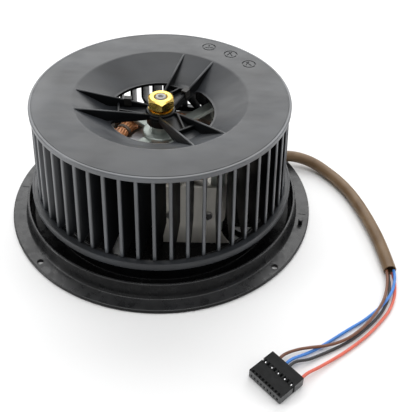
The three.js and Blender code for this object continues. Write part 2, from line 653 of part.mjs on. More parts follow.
function contact(place) {
  const x = (place - 5) * CONNECTOR.pitch;
  const step = -CONNECTOR.depth / 2 + 10.4;
  const base = CONNECTOR.height - 3 + GAP;
  return placedOnConnector(block([x - 0.5, x + 0.5], [step + 0.15, step + 1.9], [base, base + 1.8]));
}

// ---------------------------------------------------------------- the assembly
const blower = new THREE.Group();

function add(name, body, material, parent = blower) {
  const mesh = new THREE.Mesh(geometryOf(body), material);
  mesh.name = name;
  parent.add(mesh);
}

const rotating = new THREE.Group();
blower.add(rotating);
add("wheel_backplate", wheelBackplate(), wheelPlastic, rotating);
for (let i = 0; i < SECTORS; i += 1) {
  add(`blade_sector_${i + 1}`, bladeSector(i), wheelPlastic, rotating);
}
add("motor_shaft", shaft(), steel, rotating);
add("hub_nut", hubNut(), brass, rotating);
add("hub_washer", ring(BORE_R, 8.6, HUB_TOP + GAP, NUT_BOTTOM - GAP, 24), brass, rotating);
add("balance_clip_1", balanceClip(60 + SPIDER_TURN, -1, 20), steel, rotating);
add("balance_clip_2", balanceClip(180 + SPIDER_TURN, -1, 20), steel, rotating);
add("rotor_core", ring(BORE_R, ROTOR_R, ROTOR_BOTTOM, ROTOR_TOP), laminations, rotating);
const endRing = (bottom, top) => ring(13, ROTOR_R - 1, bottom, top);
add("rotor_end_ring_upper", endRing(ROTOR_TOP + GAP, ROTOR_TOP + 5), castAluminium, rotating);
add("rotor_end_ring_lower", endRing(ROTOR_BOTTOM - 4.5, ROTOR_BOTTOM - GAP), castAluminium, rotating);
add("thrust_washer_upper", ring(BORE_R, 7.5, 58.4, 59.6, 16), nylon, rotating);
add("thrust_washer_lower", ring(BORE_R, 7.5, 14.6, 15.8, 16), nylon, rotating);

add("base_flange", baseMoulding(), basePlastic);
add("stator_core", stator(), laminations);
["right", "rear", "left", "front"].forEach((side, i) => add(`coil_${side}`, coil(90 * i), copper));
add("bearing_bracket_upper", upperBracket(), zinc);
add("bearing_bracket_lower", lowerBracket(), zinc);
add("bearing_upper", ring(BORE_R, BEARING_R, BEARING_TOP - BEARING_LENGTH, BEARING_TOP, 16), bronze);
add("bearing_lower", ring(BORE_R, BEARING_R, 6.6, 13.6, 16), bronze);
corners().forEach((place, i) => {
  add(`through_bolt_${i + 1}`, throughBolt(place), steel);
  add(`bolt_nut_${i + 1}`, boltNut(place), steel);
});
[["front", 0], ["rear", 180]].forEach(([side, turn]) => {
  add(`bracket_leg_${side}`, turned(bracketLeg(), turn), galvanised);
  footScrewPlaces().forEach((p, i) => add(`foot_screw_${side}_${i + 1}`, turned(footScrew(p), turn), steel));
  sideScrewPlaces().forEach((p, i) => add(`side_screw_${side}_${i + 1}`, turned(sideScrew(p), turn), steel));
});
add("terminal_block", terminalBlock(), nylon);
add("lead_grommet", leadGrommet(), rubber);

add("lead_sleeve", cord(sleeveRoute, SLEEVE_D, 10, 20), sleevePlastic);
for (const [colour, route] of Object.entries(wireRoutes)) {
  add(`wire_${colour}`, cord(route, WIRE_D, 8, 22), wireFinish[colour]);
}
add("connector_housing", connectorHousing(), connectorPlastic);
CONTACT_PLACES.forEach((place, i) => add(`contact_${i + 1}`, contact(place), tin));

export default blower;
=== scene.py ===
# The looks of an extractor-hood blower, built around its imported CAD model.
# Lengths are in millimetres until solid() or lead_wire() turns them into metres.
# The camera and lights are placed in metres. Angles are in degrees.
# +Z is up, and the wheel turns about Z.
import math

import bmesh
import bpy
from mathutils import Matrix, Vector


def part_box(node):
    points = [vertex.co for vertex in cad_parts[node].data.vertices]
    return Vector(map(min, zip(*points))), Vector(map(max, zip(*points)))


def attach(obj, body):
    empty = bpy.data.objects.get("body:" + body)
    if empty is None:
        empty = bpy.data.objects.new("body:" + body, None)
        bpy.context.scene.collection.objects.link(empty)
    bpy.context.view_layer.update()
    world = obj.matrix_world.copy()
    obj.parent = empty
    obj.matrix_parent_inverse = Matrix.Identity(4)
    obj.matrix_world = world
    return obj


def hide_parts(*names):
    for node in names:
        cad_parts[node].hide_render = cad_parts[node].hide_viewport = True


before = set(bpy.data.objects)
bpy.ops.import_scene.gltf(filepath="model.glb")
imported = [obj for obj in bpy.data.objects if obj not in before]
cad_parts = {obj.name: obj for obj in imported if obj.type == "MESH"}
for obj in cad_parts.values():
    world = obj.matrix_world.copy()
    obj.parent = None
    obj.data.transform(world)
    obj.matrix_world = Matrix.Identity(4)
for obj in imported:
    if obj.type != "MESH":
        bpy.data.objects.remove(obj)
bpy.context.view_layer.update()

MM = 0.001
GAP = 0.3  # left between parts that would touch


def box_mm(node):
    """A CAD part's lowest and highest corners."""
    low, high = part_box(node)
    return low / MM, high / MM


# ---------------------------------------------------------------- sizes
WHEEL_R = box_mm("wheel_backplate")[1].x
WHEEL_TOP = box_mm("wheel_backplate")[1].z
HUB_BOTTOM = box_mm("wheel_backplate")[0].z
HUB_TOP = box_mm("hub_washer")[0].z - GAP
HUB_R = 10
WEB_TOP = WHEEL_TOP - 12.6
WEB_R = 37.6
DISH_R = 59.5
PLATE_T = 2
RIM_HEIGHT = 3.5
BORE_R = 4.3
SPIDER_TURN = 4.6
RIB_OFFSET = 4.9
RIB_SPLAY = 6.8
RIB_T = 1.8
WEB_OPENINGS_AT = (0, 120, 240)
RIB_PAIRS_AT = (60, 180, 300)

SECTORS = 5
BLADES = 53
FIRST_BLADE = 263
BLADE_T = 2.4
BLADE_INNER_R = 73
BLADE_OUTER_R = 86.8
BLADE_FLARE = 3
BLADE_SWEEP = 5
BLADE_CURL = 32
BLADE_BOTTOM = 24
BLADE_CUT = 22
RING_BOTTOM = box_mm("blade_sector_1")[0].z
RING_TOP = RING_BOTTOM + 5.2
RING_INNER_R = 88.4
RING_OUTER_R = 93.4
MARKS_AT = 75.9
# The marks moulded in the wheel's face: where each is, then the turn and the place of its bars.
MARKS = ((64.5, ((20, 0), (110, 1))), (50.2, ((0, 1), (60, 0))), (36, ((90, 0), (30, 1.2))))

FLANGE_R = box_mm("base_flange")[1].x
FLANGE_T = 2.5
COLLAR_R = 98.5
COLLAR_TOP = 13.8
COLLAR_T = 1.9
INLET_R = 78
INLET_TOP = 16
HOLDER_T = 3
FLANGE_HOLE_R = 2.3  # 0.3 more than in the CAD model
FLANGE_HOLES_AT = 105.4
FLANGE_HOLE_ANGLES = (41, 139, 221, 319)
FLANGE_LINE_ANGLES = (175, 351.5)
NUB = (104.5, 345.7)  # its radius and angle
FOOT_SCREWS = [(11, -40), (30, -40)]
FOOT_SCREW_HOLE_R = 1.8

NUT_FLATS = 16.8
NUT_TURN = 38
SHAFT_R = BORE_R - GAP
THREAD_PITCH = 1.0
THREAD_DEPTH = 0.45
STATOR_BOTTOM = box_mm("stator_core")[0].z
STATOR_TOP = box_mm("stator_core")[1].z
ARM_BOTTOM = 60
ARM_TOP = 63.5
LOWER_ARM_TOP = 12.5
CORNERS_AT = (45, 135, 225, 315)
BOLTS_AT = 39.5 * math.sqrt(2)
BOLT_HOLE_R = 2.3
CUP_R = 13
BEARING_R = 8.3
WINDING_R = 30.6

SLEEVE_D = 8.6
SLEEVE_WALL = 0.7
BUSH_R = SLEEVE_D / 2 + 1.1
EXIT_ANGLE = 27.3
EXIT_TURN = 10
EXIT_HEIGHT = FLANGE_T + BUSH_R + 0.4
LIP_NOTCH_ANGLE = 30
WIRE_D = 1.9


# ---------------------------------------------------------------- the camera
def aim_camera():
    """A 61 mm lens at the front, looking 39 degrees down, with the camera rolled a little."""
    place = (0.0238, -0.3976, 0.349)
    elevation = math.radians(39.47)
    roll = math.radians(1.213)
    right = Vector((
        math.cos(roll),
        math.sin(roll) * math.sin(elevation),
        math.sin(roll) * math.cos(elevation),
    ))
    back = Vector((0, -math.cos(elevation), math.sin(elevation)))
    up = back.cross(right)
    data = bpy.data.cameras.new("camera")
    data.sensor_width = 36
    data.lens = 61
    data.shift_x = 0.0283
    data.shift_y = -0.0669
    camera = bpy.data.objects.new("camera", data)
    turn = Matrix((right, up, back)).transposed().to_4x4()
    camera.matrix_world = Matrix.Translation(place) @ turn
    bpy.context.scene.collection.objects.link(camera)
    bpy.context.scene.camera = camera


aim_camera()


# ---------------------------------------------------------------- materials
def node(tree, kind, **values):
    """A shader node: its inputs are linked or set by name, and so are its other settings."""
    made = tree.nodes.new(kind)
    for key, value in values.items():
        if isinstance(value, bpy.types.NodeSocket):
            tree.links.new(value, made.inputs[key])
        elif key in made.inputs:
            made.inputs[key].default_value = value
        else:
            setattr(made, key, value)
    return made


def noise_at(tree, place, scale, detail=3.0, stretch=(1, 1, 1)):
    mapping = node(tree, "ShaderNodeMapping", Scale=stretch, Vector=place)
    made = node(tree, "ShaderNodeTexNoise", Scale=scale, Detail=detail, Vector=mapping.outputs["Vector"])
    return made.outputs["Fac"]


def spread(tree, value, low, high, from_low=0.3, from_high=0.7):
    """Goes from low to high as the value goes from from_low to from_high."""
    ends = {"From Min": from_low, "From Max": from_high, "To Min": low, "To Max": high}
    return node(tree, "ShaderNodeMapRange", Value=value, **ends).outputs["Result"]


def ramp(tree, length, low, high, start, end):
    """Goes from low to high as a length in metres goes from start to end, given in millimetres."""
    return spread(tree, length, low, high, start * MM, end * MM)


def shaded(color, factor):
    return (*(min(1.0, c * factor) for c in color), 1.0)


def maths(tree, operation, first, second):
    """One step of arithmetic on two values, each a node's output or a number."""
    made = node(tree, "ShaderNodeMath", operation=operation)
    for socket, value in zip(made.inputs, (first, second)):
        if isinstance(value, bpy.types.NodeSocket):
            tree.links.new(value, socket)
        else:
            socket.default_value = value
    return made.outputs["Value"]


def axis_values(tree, vector):
    return node(tree, "ShaderNodeSeparateXYZ", Vector=vector).outputs


def facing_values(tree):
    """The x, y and z of the direction that the surface faces."""
    return axis_values(tree, node(tree, "ShaderNodeNewGeometry").outputs["Normal"])


def radius_at(tree, x, y):
    squares = (maths(tree, "MULTIPLY", value, value) for value in (x, y))
    return maths(tree, "POWER", maths(tree, "ADD", *squares), 0.5)


def painted_light_on_wheel(tree, place):
    """Painted light and shade on the wheel, as a share of its colour and shine: full on the top face, painted
    highlights on the blades' outer edges and the left blades, a painted reflection on the dish's walls that
    face back, and least on its hub and front blades, which are painted in shade.
    """
    def times(first, second):
        return maths(tree, "MULTIPLY", first, second)

    x, y, z = axis_values(tree, place)
    radius = radius_at(tree, x, y)
    facing = facing_values(tree)
    lean = ramp(tree, z, BLADE_FLARE * MM, 0, BLADE_BOTTOM, WHEEL_TOP)
    # Painted highlights on the blades' outer edges, brighter above the bottom ring.
    edge_r = BLADE_OUTER_R - 1.1
    blade_edges = ramp(tree, maths(tree, "SUBTRACT", radius, lean), 0, 1, edge_r, edge_r + 0.8)
    rim = times(blade_edges, ramp(tree, z, 0.9, 2.5, RING_TOP + 0.2, RING_TOP + 1))
    # Painted light on the blades at the left side.
    left_side = ramp(tree, x, 1.3, 0, -82, -28)
    left_blades = times(left_side, ramp(tree, radius, 0, 1, DISH_R + 4.5, DISH_R + 10.5))
    face = ramp(tree, z, 0, 1, WHEEL_TOP - 2.4, WHEEL_TOP - 1)
    # Painted shade on the dish's floor near the hub.
    off_hub = ramp(tree, radius, 0.25, 1, 3 * HUB_R, 4 * HUB_R)
    in_dish = times(ramp(tree, radius, 1, 0, DISH_R + 0.5, DISH_R + 4.5), off_hub)
    facing_up = spread(tree, facing[2], 0, 1, 0.35, 0.75)
    # Painted reflection on the dish's walls that face back.
    facing_back = spread(tree, facing[1], 1, 2.1, 0.1, 0.45)
    dish = times(times(in_dish, facing_up), facing_back)
    blades = maths(tree, "MAXIMUM", rim, left_blades)
    return maths(tree, "MAXIMUM", blades, maths(tree, "MAXIMUM", face, dish))


def painted_light_on_base(tree, place):
    """Painted light and shade on the base, as a share of its colour and shine: most where it faces up,
    painted shade on upright faces and inside the collar, least in the groove under the ring.
    """
    x, y, z = axis_values(tree, place)
    wall_r = COLLAR_R - COLLAR_T
    facing_up = spread(tree, facing_values(tree)[2], 0.05, 1, 0.1, 0.9)
    outside = ramp(tree, radius_at(tree, x, y), 0.1, 1, wall_r - 1.1, wall_r - 0.1)
    rims = ramp(tree, z, 0, 1, COLLAR_TOP - 1.3, COLLAR_TOP - 0.3)
    return maths(tree, "MULTIPLY", facing_up, maths(tree, "MAXIMUM", outside, rims))


def painted_light_on_connector(tree, _place):
    """Painted light and shade on the connector, as a share of its colour and shine: 1 on its upright sides,
    falling to 0 on its top, which is painted in shade.
    """
    return spread(tree, facing_values(tree)[2], 1, 0, 0.2, 0.8)


def finish(name, color, roughness, metallic=0.0, specular=0.5, coat=0.0, contrast=0.15, patch=60.0,
           grain=1500.0, grain_depth=0.02, roughness_swing=0.06, stretch=(1, 1, 1), tint=None, lines=None,
           lit=None, dim=1.0):
    """A material whose colour, roughness and surface vary, in patches and in a fine grain.

    patch and grain are how fine these are, per metre, and grain_depth is in millimetres.
    lines is (direction, period in mm, depth in mm) for the parallel ridges of a stack.
    lit gives a mask of painted light and shade: the parts it marks keep full colour and shine, and the rest
    is painted in shade at the share dim of them."""
    made = bpy.data.materials.new(name)
    made.use_nodes = True
    tree = made.node_tree
    shader = tree.nodes["Principled BSDF"]
    place = node(tree, "ShaderNodeTexCoord").outputs["Object"]
    patches = spread(tree, noise_at(tree, place, patch, 4.0, stretch), 0.0, 1.0)
    mix = node(tree, "ShaderNodeMix", data_type="RGBA", Factor=patches, A=shaded(color, 1 - contrast),
               B=shaded(tint or color, 1 + contrast))
    colour = mix.outputs["Result"]
    # Painted light and shade: the mask scales both the colour and the shine.
    if lit:
        level = maths(tree, "ADD", maths(tree, "MULTIPLY", lit(tree, place), 1 - dim), dim)
        dimmed = node(tree, "ShaderNodeMix", data_type="RGBA", blend_type="MULTIPLY", Factor=1, A=colour,
                      B=level)
        colour = dimmed.outputs["Result"]
        tree.links.new(maths(tree, "MULTIPLY", level, specular), shader.inputs["Specular IOR Level"])
    else:
        shader.inputs["Specular IOR Level"].default_value = specular
    tree.links.new(colour, shader.inputs["Base Color"])
    rough = noise_at(tree, place, patch * 2.7, 5.0, stretch)
    smoothest = max(0.03, roughness - roughness_swing)
    swing = spread(tree, rough, smoothest, roughness + roughness_swing)
    tree.links.new(swing, shader.inputs["Roughness"])
    shader.inputs["Metallic"].default_value = metallic
    shader.inputs["Coat Weight"].default_value = coat
    fine = noise_at(tree, place, grain, 3.0, stretch)
    bump = node(tree, "ShaderNodeBump", Strength=1.0, Distance=grain_depth * MM, Height=fine)
    if lines:
        direction, period, depth = lines
        wave = node(tree, "ShaderNodeTexWave", bands_direction=direction, Scale=math.pi / (10 * period * MM),
                    Vector=place)
        bump = node(tree, "ShaderNodeBump", Strength=1.0, Distance=depth * MM, Height=wave.outputs["Fac"],
                    Normal=bump.outputs["Normal"])
    tree.links.new(bump.outputs["Normal"], shader.inputs["Normal"])
    return made


# The wheel, the base and the connector carry painted light and shade in their colour and shine, from the
# masks above.
WHEEL_PLASTIC = finish("wheel_plastic", (0.0245, 0.0265, 0.0295), 0.36, contrast=0.26, patch=22,
                       grain=2600, grain_depth=0.006, roughness_swing=0.08, stretch=(1, 2.2, 1),
                       tint=(0.024, 0.0268, 0.031), lit=painted_light_on_wheel, dim=0.2)
BASE_PLASTIC = finish("base_plastic", (0.012, 0.0125, 0.0135), 0.3, contrast=0.35, patch=70, grain=900,
                      grain_depth=0.02, roughness_swing=0.13, lit=painted_light_on_base, dim=0.3)
LAMINATIONS = finish("lamination_steel", (0.52, 0.50, 0.46), 0.4, metallic=0.75, patch=90,
                     lines=("Z", 0.5, 0.08))
ZINC = finish("zinc_casting", (0.40, 0.44, 0.41), 0.42, metallic=0.55, patch=140, grain=1800,
              grain_depth=0.03)
GALVANISED = finish("galvanised_sheet", (0.82, 0.79, 0.72), 0.42, metallic=0.15, patch=110, contrast=0.12,
                    grain=1200, grain_depth=0.02, stretch=(1, 1, 0.35))
COPPER = finish("copper_winding", (0.86, 0.33, 0.12), 0.3, metallic=0.5, coat=0.4, patch=240, contrast=0.3,
                grain=2500, grain_depth=0.02, tint=(0.72, 0.33, 0.15))
LACING = finish("lacing_tape", (0.22, 0.17, 0.13), 0.7, patch=400, grain=3000, grain_depth=0.12,
                contrast=0.25)
THREAD_STEEL = finish("threaded_steel", (0.30, 0.29, 0.28), 0.5, metallic=0.8, patch=500, grain=2500,
                      grain_depth=0.03)
STEEL = finish("bright_steel", (0.55, 0.55, 0.56), 0.3, metallic=1.0, patch=300, grain=2500,
               grain_depth=0.015)
SPRING_STEEL = finish("spring_steel", (0.03, 0.029, 0.028), 0.45, metallic=0.6, patch=300, contrast=0.3)
BRASS = finish("brass", (0.80, 0.52, 0.10), 0.26, metallic=1.0, patch=220, contrast=0.08, grain=3000,
               grain_depth=0.005, roughness_swing=0.05, tint=(0.82, 0.60, 0.18))
BRONZE = finish("sintered_bronze", (0.36, 0.23, 0.10), 0.5, metallic=0.9, grain=4000, grain_depth=0.05)
ALUMINIUM = finish("cast_aluminium", (0.62, 0.62, 0.64), 0.45, metallic=0.9, grain=1500, grain_depth=0.05)
NYLON = finish("nylon", (0.75, 0.73, 0.66), 0.42, patch=120, contrast=0.05, grain_depth=0.02)
RUBBER = finish("rubber", (0.018, 0.018, 0.019), 0.6, patch=200, contrast=0.2, grain=2500,
                grain_depth=0.05)
CONNECTOR_PLASTIC = finish("connector_plastic", (0.052, 0.054, 0.055), 0.42, patch=300, contrast=0.25,
                           grain=3500, grain_depth=0.03, lit=painted_light_on_connector, dim=0.22)
TIN = finish("tinned_contact", (0.75, 0.75, 0.76), 0.22, metallic=1.0, patch=800)
SLEEVE_PVC = finish("sleeve_pvc", (0.165, 0.098, 0.048), 0.42, patch=70, contrast=0.16, grain=900,
                    grain_depth=0.03, specular=0.35, tint=(0.19, 0.125, 0.07))
WIRE_COLOURS = {
    "brown": (0.17, 0.067, 0.035),
    "blue": (0.06, 0.23, 0.66),
    "black": (0.035, 0.036, 0.038),
    "red": (0.72, 0.14, 0.09),
}
WIRE_PVC = {
    colour: finish(f"wire_{colour}_pvc", rgb, 0.36, patch=160, contrast=0.1, grain=1800, grain_depth=0.01)
    for colour, rgb in WIRE_COLOURS.items()
}


# ---------------------------------------------------------------- shapes: lists of corners and faces
def polar(radius, degrees, z=None):
    """A point at an angle from +X: (x, y), or (x, y, z) where a height is given."""
    x = radius * math.cos(math.radians(degrees))
    y = radius * math.sin(math.radians(degrees))
    return (x, y) if z is None else (x, y, z)


def rounded(corners, steps=4):
    """A closed outline with rounded corners: each corner is (x, y) or (x, y, radius)."""
    outline = []
    for i, corner in enumerate(corners):
        here = Vector(corner[:2])
        if len(corner) == 2:
            outline.append(here)
            continue
        before = Vector(corners[i - 1][:2]) - here
        after = Vector(corners[(i + 1) % len(corners)][:2]) - here
        reach = corner[2] / math.tan(before.angle(after) / 2)
        start = here + before.normalized() * reach
        end = here + after.normalized() * reach
        for k in range(steps + 1):
            t = k / steps
            outline.append(start.lerp(here, t).lerp(here.lerp(end, t), t))
    return outline


def revolved(outline, segments=96):
    """A closed outline of (radius, z), turned about Z."""
    corners = []
    faces = []
    n = len(outline)
    for s in range(segments):
        angle = 360 * s / segments
        corners += [polar(r, angle, z) for r, z in outline]
        for i in range(n):
            j = (i + 1) % n
            a, b = s * n, (s + 1) % segments * n
            faces.append((a + i, a + j, b + j, b + i))
    return corners, faces


def lofted(rings, caps=True):
    """A skin through rings of equally many corners."""
    n = len(rings[0])
    corners = [tuple(c) for ring in rings for c in ring]
    faces = []
    for k in range(len(rings) - 1):
        for i in range(n):
            j = (i + 1) % n
            faces.append((k * n + i, k * n + j, (k + 1) * n + j, (k + 1) * n + i))
    if caps:
        last = (len(rings) - 1) * n
        faces.append(tuple(reversed(range(n))))
        faces.append(tuple(range(last, last + n)))
    return corners, faces


def raised(outline, bottom, top):
    """An upright body over a flat outline."""
    return lofted([[(x, y, z) for x, y in outline] for z in (bottom, top)])


def chamfered(outline_at, bottom, top, edge):
    """An upright body with softened top and bottom edges: outline_at(inset) gives its outline."""
    levels = [(bottom, edge), (bottom + edge, 0), (top - edge, 0), (top, edge)]
    return lofted([[(x, y, z) for x, y in outline_at(inset)] for z, inset in levels])


def bar(half_x, half_y, corner, steps=4):
    """The outline of a rectangle with round corners."""
    return rounded([(half_x, half_y, corner), (-half_x, half_y, corner), (-half_x, -half_y, corner),
                    (half_x, -half_y, corner)], steps)


def block(x, y, z, edge=0.25):
    """A box from (low, high) pairs, with softened edges."""
    half_x, half_y = (x[1] - x[0]) / 2, (y[1] - y[0]) / 2
    corner = min(edge * 1.5, half_x * 0.9, half_y * 0.9)
    shape = chamfered(lambda inset: bar(half_x - inset, half_y - inset, corner, 2), z[0], z[1], edge)
    return moved(shape, ((x[0] + x[1]) / 2, (y[0] + y[1]) / 2, 0))


def moved(shape, offset=(0, 0, 0), turn=0.0):
    """The shape turned about Z by some degrees, then shifted."""
    matrix = Matrix.Translation(offset) @ Matrix.Rotation(math.radians(turn), 4, "Z")
    return [tuple(matrix @ Vector(c)) for c in shape[0]], shape[1]


def together(shapes):
    """Several shapes as one."""
    corners, faces = [], []
    for shape_corners, shape_faces in shapes:
        start = len(corners)
        corners += shape_corners
        faces += [tuple(start + i for i in face) for face in shape_faces]
    return corners, faces


def rod(radius, bottom, top, x=0.0, y=0.0, edge=0.2, sides=32):
    """An upright round bar, with softened ends."""
    def circle(inset):
        return [polar(radius - inset, 360 * i / sides) for i in range(sides)]

    return moved(chamfered(circle, bottom, top, edge), (x, y, 0))


def hexagon(flats, turn=0.0):
    return [polar(flats / math.sqrt(3), 60 * i + turn) for i in range(6)]


# ---------------------------------------------------------------- objects
def solid(shape, name="tool"):
    """An object from a shape, in metres, its faces pointing out."""
    mesh = bpy.data.meshes.new(name)
    mesh.from_pydata([Vector(c) * MM for c in shape[0]], [], shape[1])
    bm = bmesh.new()
    bm.from_mesh(mesh)
    bmesh.ops.remove_doubles(bm, verts=bm.verts, dist=1e-7)
    bmesh.ops.recalc_face_normals(bm, faces=bm.faces)
    bm.to_mesh(mesh)
    bm.free()
    made = bpy.data.objects.new(name, mesh)
    bpy.context.scene.collection.objects.link(made)
    return made


def apply_modifiers(thing):
    """Makes the shape that an object's modifiers give it its own."""
    bpy.context.view_layer.update()
    seen = thing.evaluated_get(bpy.context.evaluated_depsgraph_get())
    old = thing.data
    mesh = bpy.data.meshes.new_from_object(seen)
    thing.modifiers.clear()
    thing.data = mesh
    bpy.data.meshes.remove(old)


def merge(thing, tool, operation="UNION"):
    """Joins the tool to an object, or cuts with it, and removes the tool."""
    step = thing.modifiers.new("combine", "BOOLEAN")
    step.solver = "MANIFOLD"
    step.operation = operation
    step.object = tool
    apply_modifiers(thing)
    bpy.data.objects.remove(tool)


def combine(thing, shape, operation):
    """Joins a shape to an object (UNION), cuts it away (DIFFERENCE) or keeps what both fill (INTERSECT)."""
    merge(thing, solid(shape), operation)


def dress(thing, name, material, body, stands_for=(), smooth=35.0):
    """Names a finished object, gives it its material, and lets it ride on its body."""
    thing.name = name
    thing.data.name = name
    thing.data.materials.clear()
    thing.data.materials.append(material)
    if thing.type == "MESH":
        thing.data.shade_smooth()
        thing.data.set_sharp_from_angle(angle=math.radians(smooth))
    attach(thing, body)
    if stands_for:
        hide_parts(*stands_for)
    return thing


def bevel_edges(thing, width):
    step = thing.modifiers.new("edges", "BEVEL")
    step.width = width * MM
    step.segments = 2
    step.limit_method = "ANGLE"
    step.angle_limit = math.radians(40)


def piece(name, shape, material, body, stands_for=(), bevel=0.0, smooth=35.0):
    """A finished object straight from a shape."""
    thing = solid(shape, name)
    if bevel:
        bevel_edges(thing, bevel)
        apply_modifiers(thing)
    return dress(thing, name, material, body, stands_for, smooth)


# ---------------------------------------------------------------- the lead
def catmull_rom(points, per_span):
    """A centripetal curve through the points, which doesn't loop where they lie unevenly apart."""
    points = [Vector(p) for p in points]
    ends = [points[0] * 2 - points[1], *points, points[-1] * 2 - points[-2]]
    line = []
    for i in range(len(points) - 1):
        p = ends[i:i + 4]
        t = [0.0]
        for a, b in zip(p, p[1:]):
            t.append(t[-1] + (b - a).length ** 0.5)
        for k in range(per_span):
            at = t[1] + (t[2] - t[1]) * k / per_span

            def between(u, v, low, high):
                return u.lerp(v, (at - low) / (high - low))

            a1 = between(p[0], p[1], t[0], t[1])
            a2 = between(p[1], p[2], t[1], t[2])
            a3 = between(p[2], p[3], t[2], t[3])
            b1 = between(a1, a2, t[0], t[2])
            b2 = between(a2, a3, t[1], t[3])
            line.append(between(b1, b2, t[1], t[2]))
    line.append(points[-1])
    return line


def sweep_rings(line, radius, sides):
    """Rings of a tube along a line, carried along it without twisting."""
    rings = []
    side = None
    for i, here in enumerate(line):
        ahead = (line[min(i + 1, len(line) - 1)] - line[max(i - 1, 0)]).normalized()
        start = side or ahead.orthogonal()
        side = (start - ahead * start.dot(ahead)).normalized()
        up = ahead.cross(side)
        ring = []
        for k in range(sides):
            angle = 2 * math.pi * k / sides
            ring.append(here + (side * math.cos(angle) + up * math.sin(angle)) * radius)
        rings.append(ring)
    return rings


ON_TABLE = SLEEVE_D / 2
WIRE_LOW = WIRE_D / 2 + 0.2
WIRE_HIGH = WIRE_LOW + WIRE_D + GAP


def at_exit(shape):
    """Moves a shape made along +X from the origin to the lead's way through the collar."""
    return moved(shape, polar(COLLAR_R, EXIT_ANGLE, 0), EXIT_TURN)


def on_exit(along):
    """A point on the lead's straight way through the collar."""
    return at_exit(([(along, 0, EXIT_HEIGHT)], []))[0][0]


# The lead's routes have the same points as in the CAD model.
SLEEVE_ROUTE = [
    (57, 31.6, 13.6), (60.8, 34.4, 12.4), (65.4, 37.6, 10.8), (70.4, 40.7, 9.2), on_exit(-11), on_exit(-7),
    on_exit(0), on_exit(8), (101.8, 47.2, 7.8), (108.4, 46.4, 6.9), (114.6, 44.1, 6.1), (119.9, 40.7, 5.4),
    (124.1, 36.9, 4.8), (129.6, 30.2, 4.4), (134.6, 22.9, ON_TABLE), (138.8, 15.2, ON_TABLE),
    (142.8, 6, ON_TABLE), (146.8, -6.2, ON_TABLE), (150, -18.8, ON_TABLE), (152.5, -30.9, ON_TABLE),
    (154.5, -43.1, ON_TABLE), (155.7, -54.9, ON_TABLE), (156.5, -65.3, ON_TABLE), (156.9, -72, ON_TABLE),
]

CONNECTOR_CENTRE = (73.65, -157.6)
CONNECTOR_TURN = -48
CONNECTOR_LENGTH = 25
CONNECTOR_DEPTH = 19.8
CONNECTOR_HEIGHT = 7
CONNECTOR_STEP = 10.4 - CONNECTOR_DEPTH / 2
PITCH = 2.54
PLACES = range(1, 10)
CONTACT_PLACES = [1, 3, 5, 7, 9]


def on_the_connector(shape):
    """Moves a shape from the connector's own frame, with its length along X, to where it lies."""
    return moved(shape, (*CONNECTOR_CENTRE, 0), CONNECTOR_TURN)


def place_along(place):
    """How far one of the connector's places is from its middle."""
    return (place - 5) * PITCH


def wire_entry(place, behind):
    """A point behind one of the connector's places, where its wire goes in."""
    return on_the_connector(([(place_along(place), CONNECTOR_DEPTH / 2 + behind, 3.4)], []))[0][0]


WIRE_ROUTES = {
    "brown": [
        (154.5, -72.4, 4.6), (153.8, -78.8, 4.4), (152.4, -85.1, 4.2), (150.2, -91.9, 4.5),
        (147.3, -98.7, 5.1), (144.5, -103.5, 4.9), (141.2, -108.2, 4.4), (135.6, -115, 3.8),
        (129, -121.6, 3.6), (121.3, -127.7, WIRE_HIGH), (113.2, -132, WIRE_HIGH), (105, -134.6, WIRE_HIGH),
        (96.3, -136.2, 3.6), (88, -138, 3.5), wire_entry(2, 6), wire_entry(2, -0.4),
    ],
    "blue": [
        (159.3, -72.4, 4.9), (158.6, -78.6, 4.8), (156.7, -85.5, 4.4), (153.8, -91.8, 3.9), (150, -97.2, 3.4),
        (144.9, -102.6, 2.4), (139, -107.6, 1.4), (131.7, -113.5, WIRE_LOW), (123.6, -119, WIRE_LOW),
        (116.6, -124, WIRE_LOW), (109.7, -129, WIRE_LOW), (102.3, -134, WIRE_LOW), (94.4, -139, 1.7),
        wire_entry(4, 6), wire_entry(4, -0.4),
    ],
    "black": [
        (155.7, -72.4, 2.5), (155.5, -77, 2), (154.9, -83, 1.4), (153.2, -90.3, WIRE_LOW),
        (150, -98.1, WIRE_LOW), (145.4, -105.6, WIRE_LOW), (139.6, -112.6, WIRE_LOW),
        (132.3, -119.8, WIRE_LOW), (124.5, -126.5, WIRE_LOW), (116.9, -131.7, WIRE_LOW),
        (109.5, -135.9, WIRE_LOW), (101.7, -140, 1.4), (94.2, -143.9, 2.2), wire_entry(5, 6),
        wire_entry(5, -0.4),
    ],
    "red": [
        (158.7, -72.4, 2.3), (159, -77, 1.8), (158.2, -85, WIRE_LOW), (155.7, -93.7, WIRE_LOW),
        (150.6, -103.9, WIRE_LOW), (142.8, -113.9, WIRE_LOW), (133.3, -123.9, WIRE_LOW),
        (124.1, -131.9, WIRE_LOW), (115, -138.8, WIRE_LOW), (106.9, -144.5, 1.6), (99, -150, 2.5),
        wire_entry(9, 6), wire_entry(9, -0.4),
    ],
}


def lead_sleeve():
    """The tan sleeve: a hollow tube, open at both ends."""
    line = catmull_rom(SLEEVE_ROUTE, 6)
    outer = sweep_rings(line, SLEEVE_D / 2, 24)
    inner = sweep_rings(line, SLEEVE_D / 2 - SLEEVE_WALL, 24)
    sleeve = piece("lead_sleeve_tube", lofted([*outer, *reversed(inner), outer[0]], caps=False),
                   SLEEVE_PVC, "base", ["lead_sleeve"], smooth=60)
    return sleeve, line


